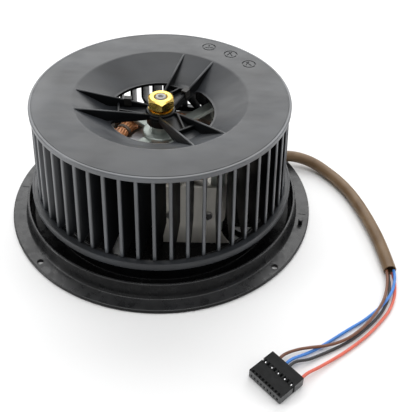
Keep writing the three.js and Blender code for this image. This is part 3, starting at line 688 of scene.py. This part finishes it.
def lead_wire(colour, route):
    """One wire of the lead, from the sleeve's open end to the connector."""
    line = catmull_rom(route, 8)
    data = bpy.data.curves.new(f"{colour}_wire", "CURVE")
    data.dimensions = "3D"
    data.bevel_depth = WIRE_D / 2 * MM
    data.bevel_resolution = 5
    data.use_fill_caps = True
    spline = data.splines.new("POLY")
    spline.points.add(len(line) - 1)
    for point, place in zip(spline.points, line):
        point.co = (*(place * MM), 1)
    wire = bpy.data.objects.new(f"{colour}_wire", data)
    bpy.context.scene.collection.objects.link(wire)
    dress(wire, f"{colour}_wire", WIRE_PVC[colour], "base", [f"wire_{colour}"])
    return wire, line


def connector():
    """The crimp connector: nine positions, a raised rear half, and a row of windows across it."""
    half = CONNECTOR_LENGTH / 2
    front = -CONNECTOR_DEPTH / 2
    step = CONNECTOR_STEP
    low = CONNECTOR_HEIGHT - 0.7
    over = CONNECTOR_HEIGHT + 1
    housing = solid(on_the_connector(block((-half, half), (front, -front), (0, CONNECTOR_HEIGHT), 0.35)))
    cuts = [block((-half - 2, half + 2), (front - 2, step), (low, CONNECTOR_HEIGHT + 2), 0.01)]
    for end in (half, -half):
        cuts.append(block((end - 1.1, end + 1.1), (step, step + 1.6), (1.2, over), 0.05))
    for x in map(place_along, PLACES):
        window = block((x - 0.85, x + 0.85), (step - 0.2, step + 2.2), (4, over), 0.05)
        front_cavity = block((x - 0.55, x + 0.55), (front - 1, front + 4), (2, 3.8), 0.05)
        top_cavity = block((x - 0.8, x + 0.8), (front + 0.5, front + 2.2), (4.4, low + 1), 0.05)
        cuts += [window, front_cavity, top_cavity]
    for cut in cuts:
        combine(housing, on_the_connector(cut), "DIFFERENCE")
    return dress(housing, "connector", CONNECTOR_PLASTIC, "base", ["connector_housing"])


def connector_contact(place, number):
    """A tinned crimp contact's locking tongue, bent over in its window."""
    x = place_along(place)
    front, back = CONNECTOR_STEP + 0.15, CONNECTOR_STEP + 1.9
    tongue = [(front, 4.35), (back, 4.35), (back, 5.5), (back - 0.7, 6.05), (front + 0.15, 5.6)]
    rings = [[(x + side, y, z) for y, z in tongue] for side in (-0.5, 0.5)]
    return piece(f"contact_tongue_{number}", on_the_connector(lofted(rings)), TIN, "base",
                 [f"contact_{number}"], bevel=0.1)


def grommet():
    """The rubber bush round the lead where it passes through the collar."""
    bore = SLEEVE_D / 2 + 0.15
    outline = [(bore, -9), (BUSH_R - 0.3, -9, 0.4), (BUSH_R - 0.3, 3.5), (BUSH_R, 4, 0.2), (BUSH_R, 5, 0.2),
               (BUSH_R - 0.3, 5.5), (BUSH_R - 0.6, 8, 0.4), (bore, 8)]
    corners, faces = revolved(rounded(outline, 2), 40)
    laid = [(z, x, y + EXIT_HEIGHT) for x, y, z in corners]
    return piece("lead_bush", at_exit((laid, faces)), RUBBER, "base", ["lead_grommet"])


def build_lead():
    """The connector, its contacts, the bush, the sleeve and the wires, with the real size of each cord."""
    housing = connector()
    contacts = [connector_contact(place, i + 1) for i, place in enumerate(CONTACT_PLACES)]
    bush = grommet()
    sleeve, line = lead_sleeve()
    for colour, route in WIRE_ROUTES.items():
        wire, line = lead_wire(colour, route)


build_lead()


# ---------------------------------------------------------------- the wheel
def blade(angle):
    """A curved blade: upright at its inner edge, leaning out at its outer one, its inner corner cut away.

    A station is how far out it is, and its share of half the blade's thickness."""
    stations = [(0, 0.4), (0.03, 0.75), (0.25, 0.8), (0.5, 0.85), (0.75, 0.9), (0.96, 1), (1, 0.7)]
    levels = 7
    top = WHEEL_TOP - 1.2
    loop = stations + [(s, -share) for s, share in reversed(stations)]
    rings = []
    for level in range(levels):
        ring = []
        for s, side in loop:
            bottom = BLADE_BOTTOM + BLADE_CUT * max(0, 1 - s / 0.9)
            z = bottom + (top - bottom) * level / (levels - 1)
            lean = BLADE_FLARE * s * (top - z) / (top - BLADE_BOTTOM)
            radius = BLADE_INNER_R + (BLADE_OUTER_R - BLADE_INNER_R) * s + lean
            at = angle + BLADE_SWEEP * (1 - s) ** 1.3
            x, y = polar(radius, at)
            dx, dy = polar(side * BLADE_T / 2, at + 90 - BLADE_CURL * (1 - s))
            ring.append((x + dx, y + dy, z))
        rings.append(ring)
    return lofted(rings)


def dish_rib(direction, side):
    """A tapering rib with a rounded top, from the hub to the dish's edge."""
    steps = 14
    start, end = HUB_R - 2, DISH_R + 1
    hub_end, rim_end = HUB_TOP - 0.4, WHEEL_TOP - 0.15
    half, crown = RIB_T / 2, 0.6
    round_top = [(half * math.cos(a), crown * math.sin(a)) for a in (math.pi * i / 6 for i in range(7))]
    rings = []
    for k in range(steps + 1):
        u = start + (end - start) * k / steps
        slope = max(0, u - WEB_R) / (DISH_R - WEB_R)
        bottom = WEB_TOP - 1.5 + (WHEEL_TOP - WEB_TOP) * slope
        share = min(1, (u - start) / (DISH_R - HUB_R))
        top = hub_end + (rim_end - hub_end) * share ** 0.95
        shoulder = max(bottom, top - crown)
        section = [(half, bottom), *((x, shoulder + z) for x, z in round_top), (-half, bottom)]
        rings.append([(u, v, z) for v, z in section])
    shape = moved(lofted(rings), (0, side * RIB_OFFSET, 0), side * RIB_SPLAY)
    return moved(shape, turn=direction)


def rib_bridge(direction):
    """Low walls between the two ribs of a pair: one across, and a brace from its middle in to one root."""
    heights = (WEB_TOP - 1, WEB_TOP + 3)
    across = block((28, 29.6), (-8, 8), heights, 0.3)
    brace = moved(block((0, 18.5), (-0.7, 0.7), heights, 0.2), (11.3, 6.1, 0), -18.5)
    return moved(across, turn=direction), moved(brace, turn=direction)


def bend(start, corner, end, steps=6):
    """A quadratic curve from start to end that leans towards the corner."""
    start, corner, end = Vector(start), Vector(corner), Vector(end)
    shares = [k / steps for k in range(steps + 1)]
    return [start.lerp(corner, t).lerp(corner.lerp(end, t), t) for t in shares]


def web_opening(direction):
    """The cutter of one of the three openings in the dish's floor, between two pairs of ribs."""
    rib_edge = RIB_OFFSET + RIB_T / 2 + 0.1
    inner, outer = HUB_R + 0.5, WEB_R - 1.0

    def half_angle(radius):
        return 60 - RIB_SPLAY - math.degrees(math.asin(rib_edge / radius))

    def at(radius, side):
        return polar(radius, side * half_angle(radius))

    arc_half = half_angle(outer) - 8
    outline = [at(inner, -1)]
    outline += bend(at(outer - 4, -1), at(outer, -1), polar(outer, -arc_half))
    outline += [polar(outer, arc_half * k / 8) for k in range(-7, 8)]
    outline += bend(polar(outer, arc_half), at(outer, 1), at(outer - 4, 1))
    outline += [polar(inner, half_angle(inner) * k / 4) for k in range(4, -4, -1)]
    return moved(raised([tuple(point) for point in outline], WEB_TOP - 6, WEB_TOP + 1.5), turn=direction)


def moulding_mark(angle, bars):
    """The cutters of a plain mark in the wheel's face: a ring with a few bars inside it."""
    low, high = WHEEL_TOP - 0.6, WHEEL_TOP + 1
    inner, outer = 4.2, 5.1
    cuts = [revolved([(inner, low), (outer, low), (outer, high), (inner, high)], 24)]
    for turn, at in bars:
        cuts.append(moved(block((-3, 3), (at - 0.4, at + 0.4), (low, high), 0.05), turn=turn))
    return [moved(cut, polar(MARKS_AT, angle, 0), angle) for cut in cuts]


def fan_wheel():
    """The wheel in one piece: its plate, dish and hub, openings, ribs, blades, bottom ring and marks."""
    under = WHEEL_TOP - PLATE_T
    rim_low = WHEEL_TOP - RIM_HEIGHT
    line_r = WHEEL_R - 2.2
    plate = rounded([
        (BORE_R, HUB_TOP), (HUB_R, HUB_TOP, 0.8), (HUB_R, WEB_TOP, 1.2), (WEB_R, WEB_TOP, 4),
        (DISH_R, WHEEL_TOP, 4), (line_r, WHEEL_TOP), (line_r + 0.15, WHEEL_TOP - 0.2),
        (line_r + 0.45, WHEEL_TOP - 0.2), (line_r + 0.6, WHEEL_TOP), (WHEEL_R, WHEEL_TOP, 0.7),
        (WHEEL_R, rim_low, 0.4), (WHEEL_R - 3.5, rim_low, 0.3), (WHEEL_R - 3.5, under),
        (DISH_R + 0.6, under, 3), (WEB_R + 0.6, WEB_TOP - PLATE_T, 3), (HUB_R, WEB_TOP - PLATE_T, 1),
        (HUB_R, HUB_BOTTOM, 0.5), (BORE_R, HUB_BOTTOM),
    ])
    wheel = solid(revolved(plate, 180))
    for direction in WEB_OPENINGS_AT:
        combine(wheel, web_opening(direction + SPIDER_TURN), "DIFFERENCE")
    for direction in RIB_PAIRS_AT:
        at = direction + SPIDER_TURN
        for shape in (dish_rib(at, 1), dish_rib(at, -1), *rib_bridge(at)):
            combine(wheel, shape, "UNION")
    combine(wheel, together([blade(FIRST_BLADE + 360 * i / BLADES) for i in range(BLADES)]), "UNION")
    band = rounded([
        (RING_INNER_R, RING_BOTTOM, 0.4), (RING_OUTER_R, RING_BOTTOM, 0.5), (RING_OUTER_R, RING_TOP, 0.5),
        (RING_OUTER_R - 1.2, RING_TOP), (RING_OUTER_R - 1.4, RING_TOP - 0.3),
        (RING_INNER_R, RING_TOP - 0.3, 0.4),
    ], 3)
    combine(wheel, revolved(band, 180), "UNION")
    combine(wheel, rod(BORE_R, HUB_BOTTOM - 1, HUB_TOP + 2, edge=0.01), "DIFFERENCE")
    for angle, bars in MARKS:
        for cut in moulding_mark(angle, bars):
            combine(wheel, cut, "DIFFERENCE")
    nodes = ["wheel_backplate", *(f"blade_sector_{i + 1}" for i in range(SECTORS))]
    return dress(wheel, "fan_wheel", WHEEL_PLASTIC, "rotor", nodes)


fan_wheel()


def hub_nut():
    """The brass nut: its hexagon's corners are turned off at the top and the bottom."""
    low, high = (corner.z for corner in box_mm("hub_nut"))
    flat_r = NUT_FLATS / 2
    corner_r = NUT_FLATS / math.sqrt(3) + 0.1
    nut = solid(raised(hexagon(NUT_FLATS, NUT_TURN), low, high))
    turned = rounded([(0, low), (flat_r - 1.2, low, 0.3), (corner_r, low + 2.3, 0.6),
                      (corner_r, high - 1.8, 0.6), (flat_r - 1, high, 0.4), (0, high)], 3)
    combine(nut, revolved(turned, 72), "INTERSECT")
    bore = rounded([(0, low - 1), (BORE_R, low - 1), (BORE_R, high - 0.6), (BORE_R + 0.7, high + 0.1),
                    (BORE_R + 0.7, high + 1), (0, high + 1)])
    combine(nut, revolved(bore, 40), "DIFFERENCE")
    dress(nut, "brass_nut", BRASS, "rotor", ["hub_nut"], smooth=28)


def motor_shaft():
    """The steel shaft, threaded where it carries the nut, with a centre hole in its end."""
    low, high = (corner.z for corner in box_mm("motor_shaft"))
    z = HUB_TOP - 2
    outline = [(0, low), (SHAFT_R - 0.6, low), (SHAFT_R, low + 0.6), (SHAFT_R, z)]
    while z < high - 1.4:
        outline += [(SHAFT_R - THREAD_DEPTH, z + THREAD_PITCH / 2), (SHAFT_R, z + THREAD_PITCH)]
        z += THREAD_PITCH
    outline += [(SHAFT_R, high - 0.9), (SHAFT_R - 0.7, high), (1.9, high), (1.5, high - 0.4),
                (1.3, high - 0.9), (0, high - 2.2)]
    piece("threaded_shaft", revolved(outline, 40), THREAD_STEEL, "rotor", ["motor_shaft"])


hub_nut()
motor_shaft()


# ---------------------------------------------------------------- the motor
def winding_ring(low, high):
    """The end turns of the winding: a round bundle of twisted strands between two heights."""
    half_r = 5.2
    middle_z, half_z = (low + high) / 2, (high - low) / 2
    around, about = 108, 72
    rings = []
    for i in range(around):
        turn = 360 * i / around
        sag = 1 - 0.05 * math.cos(math.radians(4 * turn)) - 0.03 * math.cos(math.radians(9 * turn))
        ring = []
        for k in range(about):
            angle = 2 * math.pi * k / about
            strand = 1 - 0.11 * abs(math.sin(9 * angle + math.radians(3 * turn)))
            radius = WINDING_R + half_r * sag * strand * math.cos(angle)
            ring.append(polar(radius, turn, middle_z + half_z * sag * strand * math.sin(angle)))
        rings.append(ring)
    return lofted([*rings, rings[0]], caps=False)


def lacing_band(low, high, turn):
    """A tape tied round the end turns."""
    half_r = 5.35
    middle_z, half_z = (low + high) / 2, (high - low) / 2 + 0.1
    sides = 28
    loop = [(math.cos(angle), math.sin(angle)) for angle in (2 * math.pi * k / sides for k in range(sides))]
    rings = []
    for across, size in ((-1.5, 0.9), (-1.3, 1.0), (1.3, 1.0), (1.5, 0.9)):
        rings.append([(WINDING_R + half_r * size * c, across, middle_z + half_z * size * s) for c, s in loop])
    return moved(lofted(rings), turn=turn)


def windings():
    """The copper: end turns above and below the stator, joined by the coil sides in its slots."""
    upper = (STATOR_TOP + 0.5, ARM_BOTTOM - 0.5)
    lower = (LOWER_ARM_TOP + GAP, STATOR_BOTTOM - GAP)
    copper = solid(winding_ring(*upper))
    combine(copper, winding_ring(*lower), "UNION")
    for direction in (0, 90, 180, 270):
        for side in (12.8, -12.8):
            leg = block((28.4, 35.6), (side - 3.4, side + 3.4), (sum(lower) / 2, sum(upper) / 2), 0.8)
            combine(copper, moved(leg, turn=direction), "UNION")
    coils = [f"coil_{side}" for side in ("right", "rear", "left", "front")]
    dress(copper, "windings", COPPER, "base", coils, smooth=50)
    bands = together([lacing_band(*upper, turn) for turn in range(12, 372, 24)])
    piece("winding_lacing", bands, LACING, "base")


def bearing_arms(bracket, arm, post):
    """Joins four arms to a bearing bracket, each with a post that stands on the stator's corner.

    arm and post are (bottom, top)."""
    start = 10.5
    for direction in CORNERS_AT:
        beam = block((start, BOLTS_AT), (-4, 4), arm, 0.6)
        spine = block((start, BOLTS_AT - 3), (-1, 1), (arm[0] - 1.6, arm[1] - 0.8), 0.4)
        foot = rod(4.6, *post, BOLTS_AT, 0, edge=0.4)
        for shape in (beam, spine, foot):
            combine(bracket, moved(shape, turn=direction), "UNION")
    for direction in CORNERS_AT:
        x, y = polar(BOLTS_AT, direction)
        hole = rod(BOLT_HOLE_R, min(arm[0], post[0]) - 1, max(arm[1], post[1]) + 1, x, y, edge=0.01)
        combine(bracket, hole, "DIFFERENCE")


def upper_bracket():
    """The zinc casting over the rotor, with a stepped cap round the bearing."""
    top = box_mm("bearing_bracket_upper")[1].z
    shoulder = top - 4.5
    roof = shoulder - 1.4
    cup = rounded([
        (BEARING_R, ARM_BOTTOM), (CUP_R, ARM_BOTTOM, 0.4), (CUP_R, shoulder, 1.6),
        (BEARING_R, shoulder + 0.2, 0.5), (6.7, shoulder - 0.4, 0.5), (6.4, top, 0.7), (5, top, 0.3),
        (4.7, top - 0.6), (4.7, roof), (BEARING_R, roof),
    ], 5)
    bracket = solid(revolved(cup, 72))
    bearing_arms(bracket, (ARM_BOTTOM, ARM_TOP), (STATOR_TOP + GAP, ARM_TOP))
    combine(bracket, rod(BEARING_R, ARM_BOTTOM - 4, roof, edge=0.01), "DIFFERENCE")
    dress(bracket, "upper_bracket", ZINC, "base", ["bearing_bracket_upper"])


def lower_bracket():
    """The zinc casting under the rotor, a cup closed at the bottom."""
    low = box_mm("bearing_bracket_lower")[0].z
    floor, rim = 6, 13.5
    arm_bottom = 9
    cup = rounded([(0, low), (CUP_R, low, 1.2), (CUP_R, rim, 0.6), (BEARING_R, rim, 0.4), (BEARING_R, floor),
                   (0, floor)], 5)
    bracket = solid(revolved(cup, 72))
    bearing_arms(bracket, (arm_bottom, LOWER_ARM_TOP), (arm_bottom, STATOR_BOTTOM - GAP))
    combine(bracket, rod(BEARING_R, floor, 20, edge=0.01), "DIFFERENCE")
    dress(bracket, "lower_bracket", ZINC, "base", ["bearing_bracket_lower"])


def insulator():
    """The white nylon end piece on the stator, beside the front leg."""
    body = block((7, 15.5), (-45.4, -37), (STATOR_TOP + GAP, STATOR_TOP + 8), 0.6)
    tab = block((9, 13.5), (-46.6, -45), (STATOR_TOP + 2, STATOR_TOP + 6), 0.3)
    nylon = solid(body)
    combine(nylon, tab, "UNION")
    dress(nylon, "winding_insulator", NYLON, "base")


windings()
upper_bracket()
lower_bracket()
insulator()


# ---------------------------------------------------------------- the base
def add_motor_holder(base):
    """The plate inside the inlet: a ring, with pads, spokes and ribs out to the inlet's lip."""
    low, high = 0, HOLDER_T
    reach = INLET_R + 1
    disc = rod(INLET_R + 3, low, high, edge=0.05, sides=90)
    # At the front, at the front left and at the right, each with a twin half a turn round.
    pads = [block((-24, 49.1), (-INLET_R - 3, -34), (low, high), 0.3),
            block((-68, -32), (-INLET_R - 3, -26), (low, high), 0.3),
            block((36, reach), (-28, 28), (low, high), 0.3)]
    spoke = moved(block((44, reach), (-1.5, 1.5), (low, high), 0.3), turn=-33.5)
    rib = block((36, reach), (-1, 1), (low, high + 3), 0.3)
    for turn in (0, 180):
        for pad in pads:
            part = solid(moved(pad, turn=turn))
            combine(part, disc, "INTERSECT")
            merge(base, part)
        for shape in (spoke, rib):
            combine(base, moved(shape, turn=turn), "UNION")
    inner, outer = 34, 44
    ring = rounded([(inner, low, 0.3), (outer, low, 0.3), (outer, high, 0.5), (inner, high, 0.5)])
    combine(base, revolved(ring, 96), "UNION")


def add_flange_marks(base):
    """The small round nub on the flange, and two raised lines across it."""
    combine(base, rod(1.6, FLANGE_T - 1, FLANGE_T + 4, *polar(*NUB), edge=0.4, sides=20), "UNION")
    for angle in FLANGE_LINE_ANGLES:
        line = block((COLLAR_R + 3.5, FLANGE_R - 2.5), (-0.25, 0.25), (FLANGE_T - 1, FLANGE_T + 0.25), 0.05)
        combine(base, moved(line, turn=angle), "UNION")


def base_cuts():
    """The cutters of the screw holes, and of the lead's notches in the collar and the inlet's lip."""
    cuts = []
    for angle in FLANGE_HOLE_ANGLES:
        cuts.append(rod(FLANGE_HOLE_R, -1, FLANGE_T + 1, *polar(FLANGE_HOLES_AT, angle), edge=0.01))
    for x, y in FOOT_SCREWS:
        for side in (1, -1):
            cuts.append(rod(FOOT_SCREW_HOLE_R, -1, HOLDER_T + 1, side * x, side * y, edge=0.01, sides=20))
    across = (-BUSH_R - GAP, BUSH_R + GAP)
    cuts.append(at_exit(block((-9, 9), across, (FLANGE_T + GAP, COLLAR_TOP + 1), 0.05)))
    lip_notch = block((72, 89), across, (FLANGE_T + GAP, INLET_TOP + 1), 0.05)
    cuts.append(moved(lip_notch, turn=LIP_NOTCH_ANGLE))
    return cuts


def base_moulding():
    """The round base: a flat flange, a collar, a groove for the wheel's ring, and the inlet's lip."""
    shell = rounded([
        (FLANGE_R, 0, 0.5), (FLANGE_R, FLANGE_T, 0.9), (COLLAR_R + 1.8, FLANGE_T, 1), (COLLAR_R + 0.6, 5),
        (COLLAR_R, COLLAR_TOP, 0.7), (COLLAR_R - COLLAR_T, COLLAR_TOP, 0.7), (COLLAR_R - COLLAR_T, 5),
        (COLLAR_R - 4, FLANGE_T, 1.2), (INLET_R + 5, FLANGE_T, 1.2), (INLET_R + 3.4, 9),
        (INLET_R + 1.6, INLET_TOP, 0.6), (INLET_R, INLET_TOP, 0.6), (INLET_R + 1.4, 8), (INLET_R + 2, 0),
    ])
    base = solid(revolved(shell, 180))
    add_motor_holder(base)
    add_flange_marks(base)
    for cut in base_cuts():
        combine(base, cut, "DIFFERENCE")
    dress(base, "mounting_base", BASE_PLASTIC, "base", ["base_flange"])


base_moulding()


# ---------------------------------------------------------------- CAD parts kept as they are
BOLTS = [f"{part}_{i}" for part in ("through_bolt", "bolt_nut") for i in range(1, 5)]
SCREWS = [
    f"{part}_{leg}_{i}"
    for part in ("foot_screw", "side_screw")
    for leg in ("front", "rear")
    for i in (1, 2)
]
KEPT = {
    LAMINATIONS: ["stator_core", "rotor_core"],
    ALUMINIUM: ["rotor_end_ring_upper", "rotor_end_ring_lower"],
    BRONZE: ["bearing_upper", "bearing_lower"],
    NYLON: ["thrust_washer_upper", "thrust_washer_lower", "terminal_block"],
    BRASS: ["hub_washer"],
    SPRING_STEEL: ["balance_clip_1", "balance_clip_2"],
    GALVANISED: ["bracket_leg_front", "bracket_leg_rear"],
    STEEL: BOLTS + SCREWS,
}


def finish_kept_parts():
    """Gives the CAD parts that stay as they are their materials and softened edges."""
    for material, names in KEPT.items():
        for name in names:
            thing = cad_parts[name]
            thing.material_slots[0].material = material
            bevel_edges(thing, 0.25)


finish_kept_parts()


# ---------------------------------------------------------------- floor and light
LIGHTS_AIM = Vector((0, 0, 0.04))


def floor_material():
    made = bpy.data.materials.new("floor")
    made.use_nodes = True
    shader = made.node_tree.nodes["Principled BSDF"]
    shader.inputs["Base Color"].default_value = (0.93, 0.93, 0.93, 1)
    shader.inputs["Roughness"].default_value = 0.6
    return made


def build_stage():
    """A plain pale floor, just below the object."""
    bpy.ops.mesh.primitive_plane_add(size=14, location=(0, 0, -0.0004))
    floor = bpy.context.object
    floor.name = "floor"
    floor.data.materials.append(floor_material())


def softbox(name, place, width, height, brightness):
    """A white rectangular lamp aimed at the object; brightness is its radiance."""
    data = bpy.data.lights.new(name, "AREA")
    data.shape = "RECTANGLE"
    data.size = width
    data.size_y = height
    data.energy = brightness * width * height * math.pi
    lamp = bpy.data.objects.new(name, data)
    lamp.location = place
    lamp.rotation_euler = (LIGHTS_AIM - Vector(place)).to_track_quat("-Z", "Y").to_euler()
    bpy.context.scene.collection.objects.link(lamp)


def build_lights():
    """A dim white sky, with a broad box behind and above, one overhead, and a narrow one at each side."""
    world = bpy.data.worlds.new("studio")
    world.use_nodes = True
    sky = world.node_tree.nodes["Background"]
    sky.inputs["Color"].default_value = (1, 1, 1, 1)
    sky.inputs["Strength"].default_value = 0.4
    bpy.context.scene.world = world
    softbox("rear", (0, 1.5, 1.25), 2.6, 1.7, 2.4)
    softbox("overhead", (0, -0.1, 1.7), 1.6, 1.2, 2.2)
    softbox("left", (-1.3, -0.25, 0.5), 0.5, 0.9, 4.6)
    softbox("right", (1.3, -0.1, 0.5), 0.5, 0.9, 2.5)
    bpy.context.scene.view_settings.view_transform = "Standard"


build_stage()
build_lights()
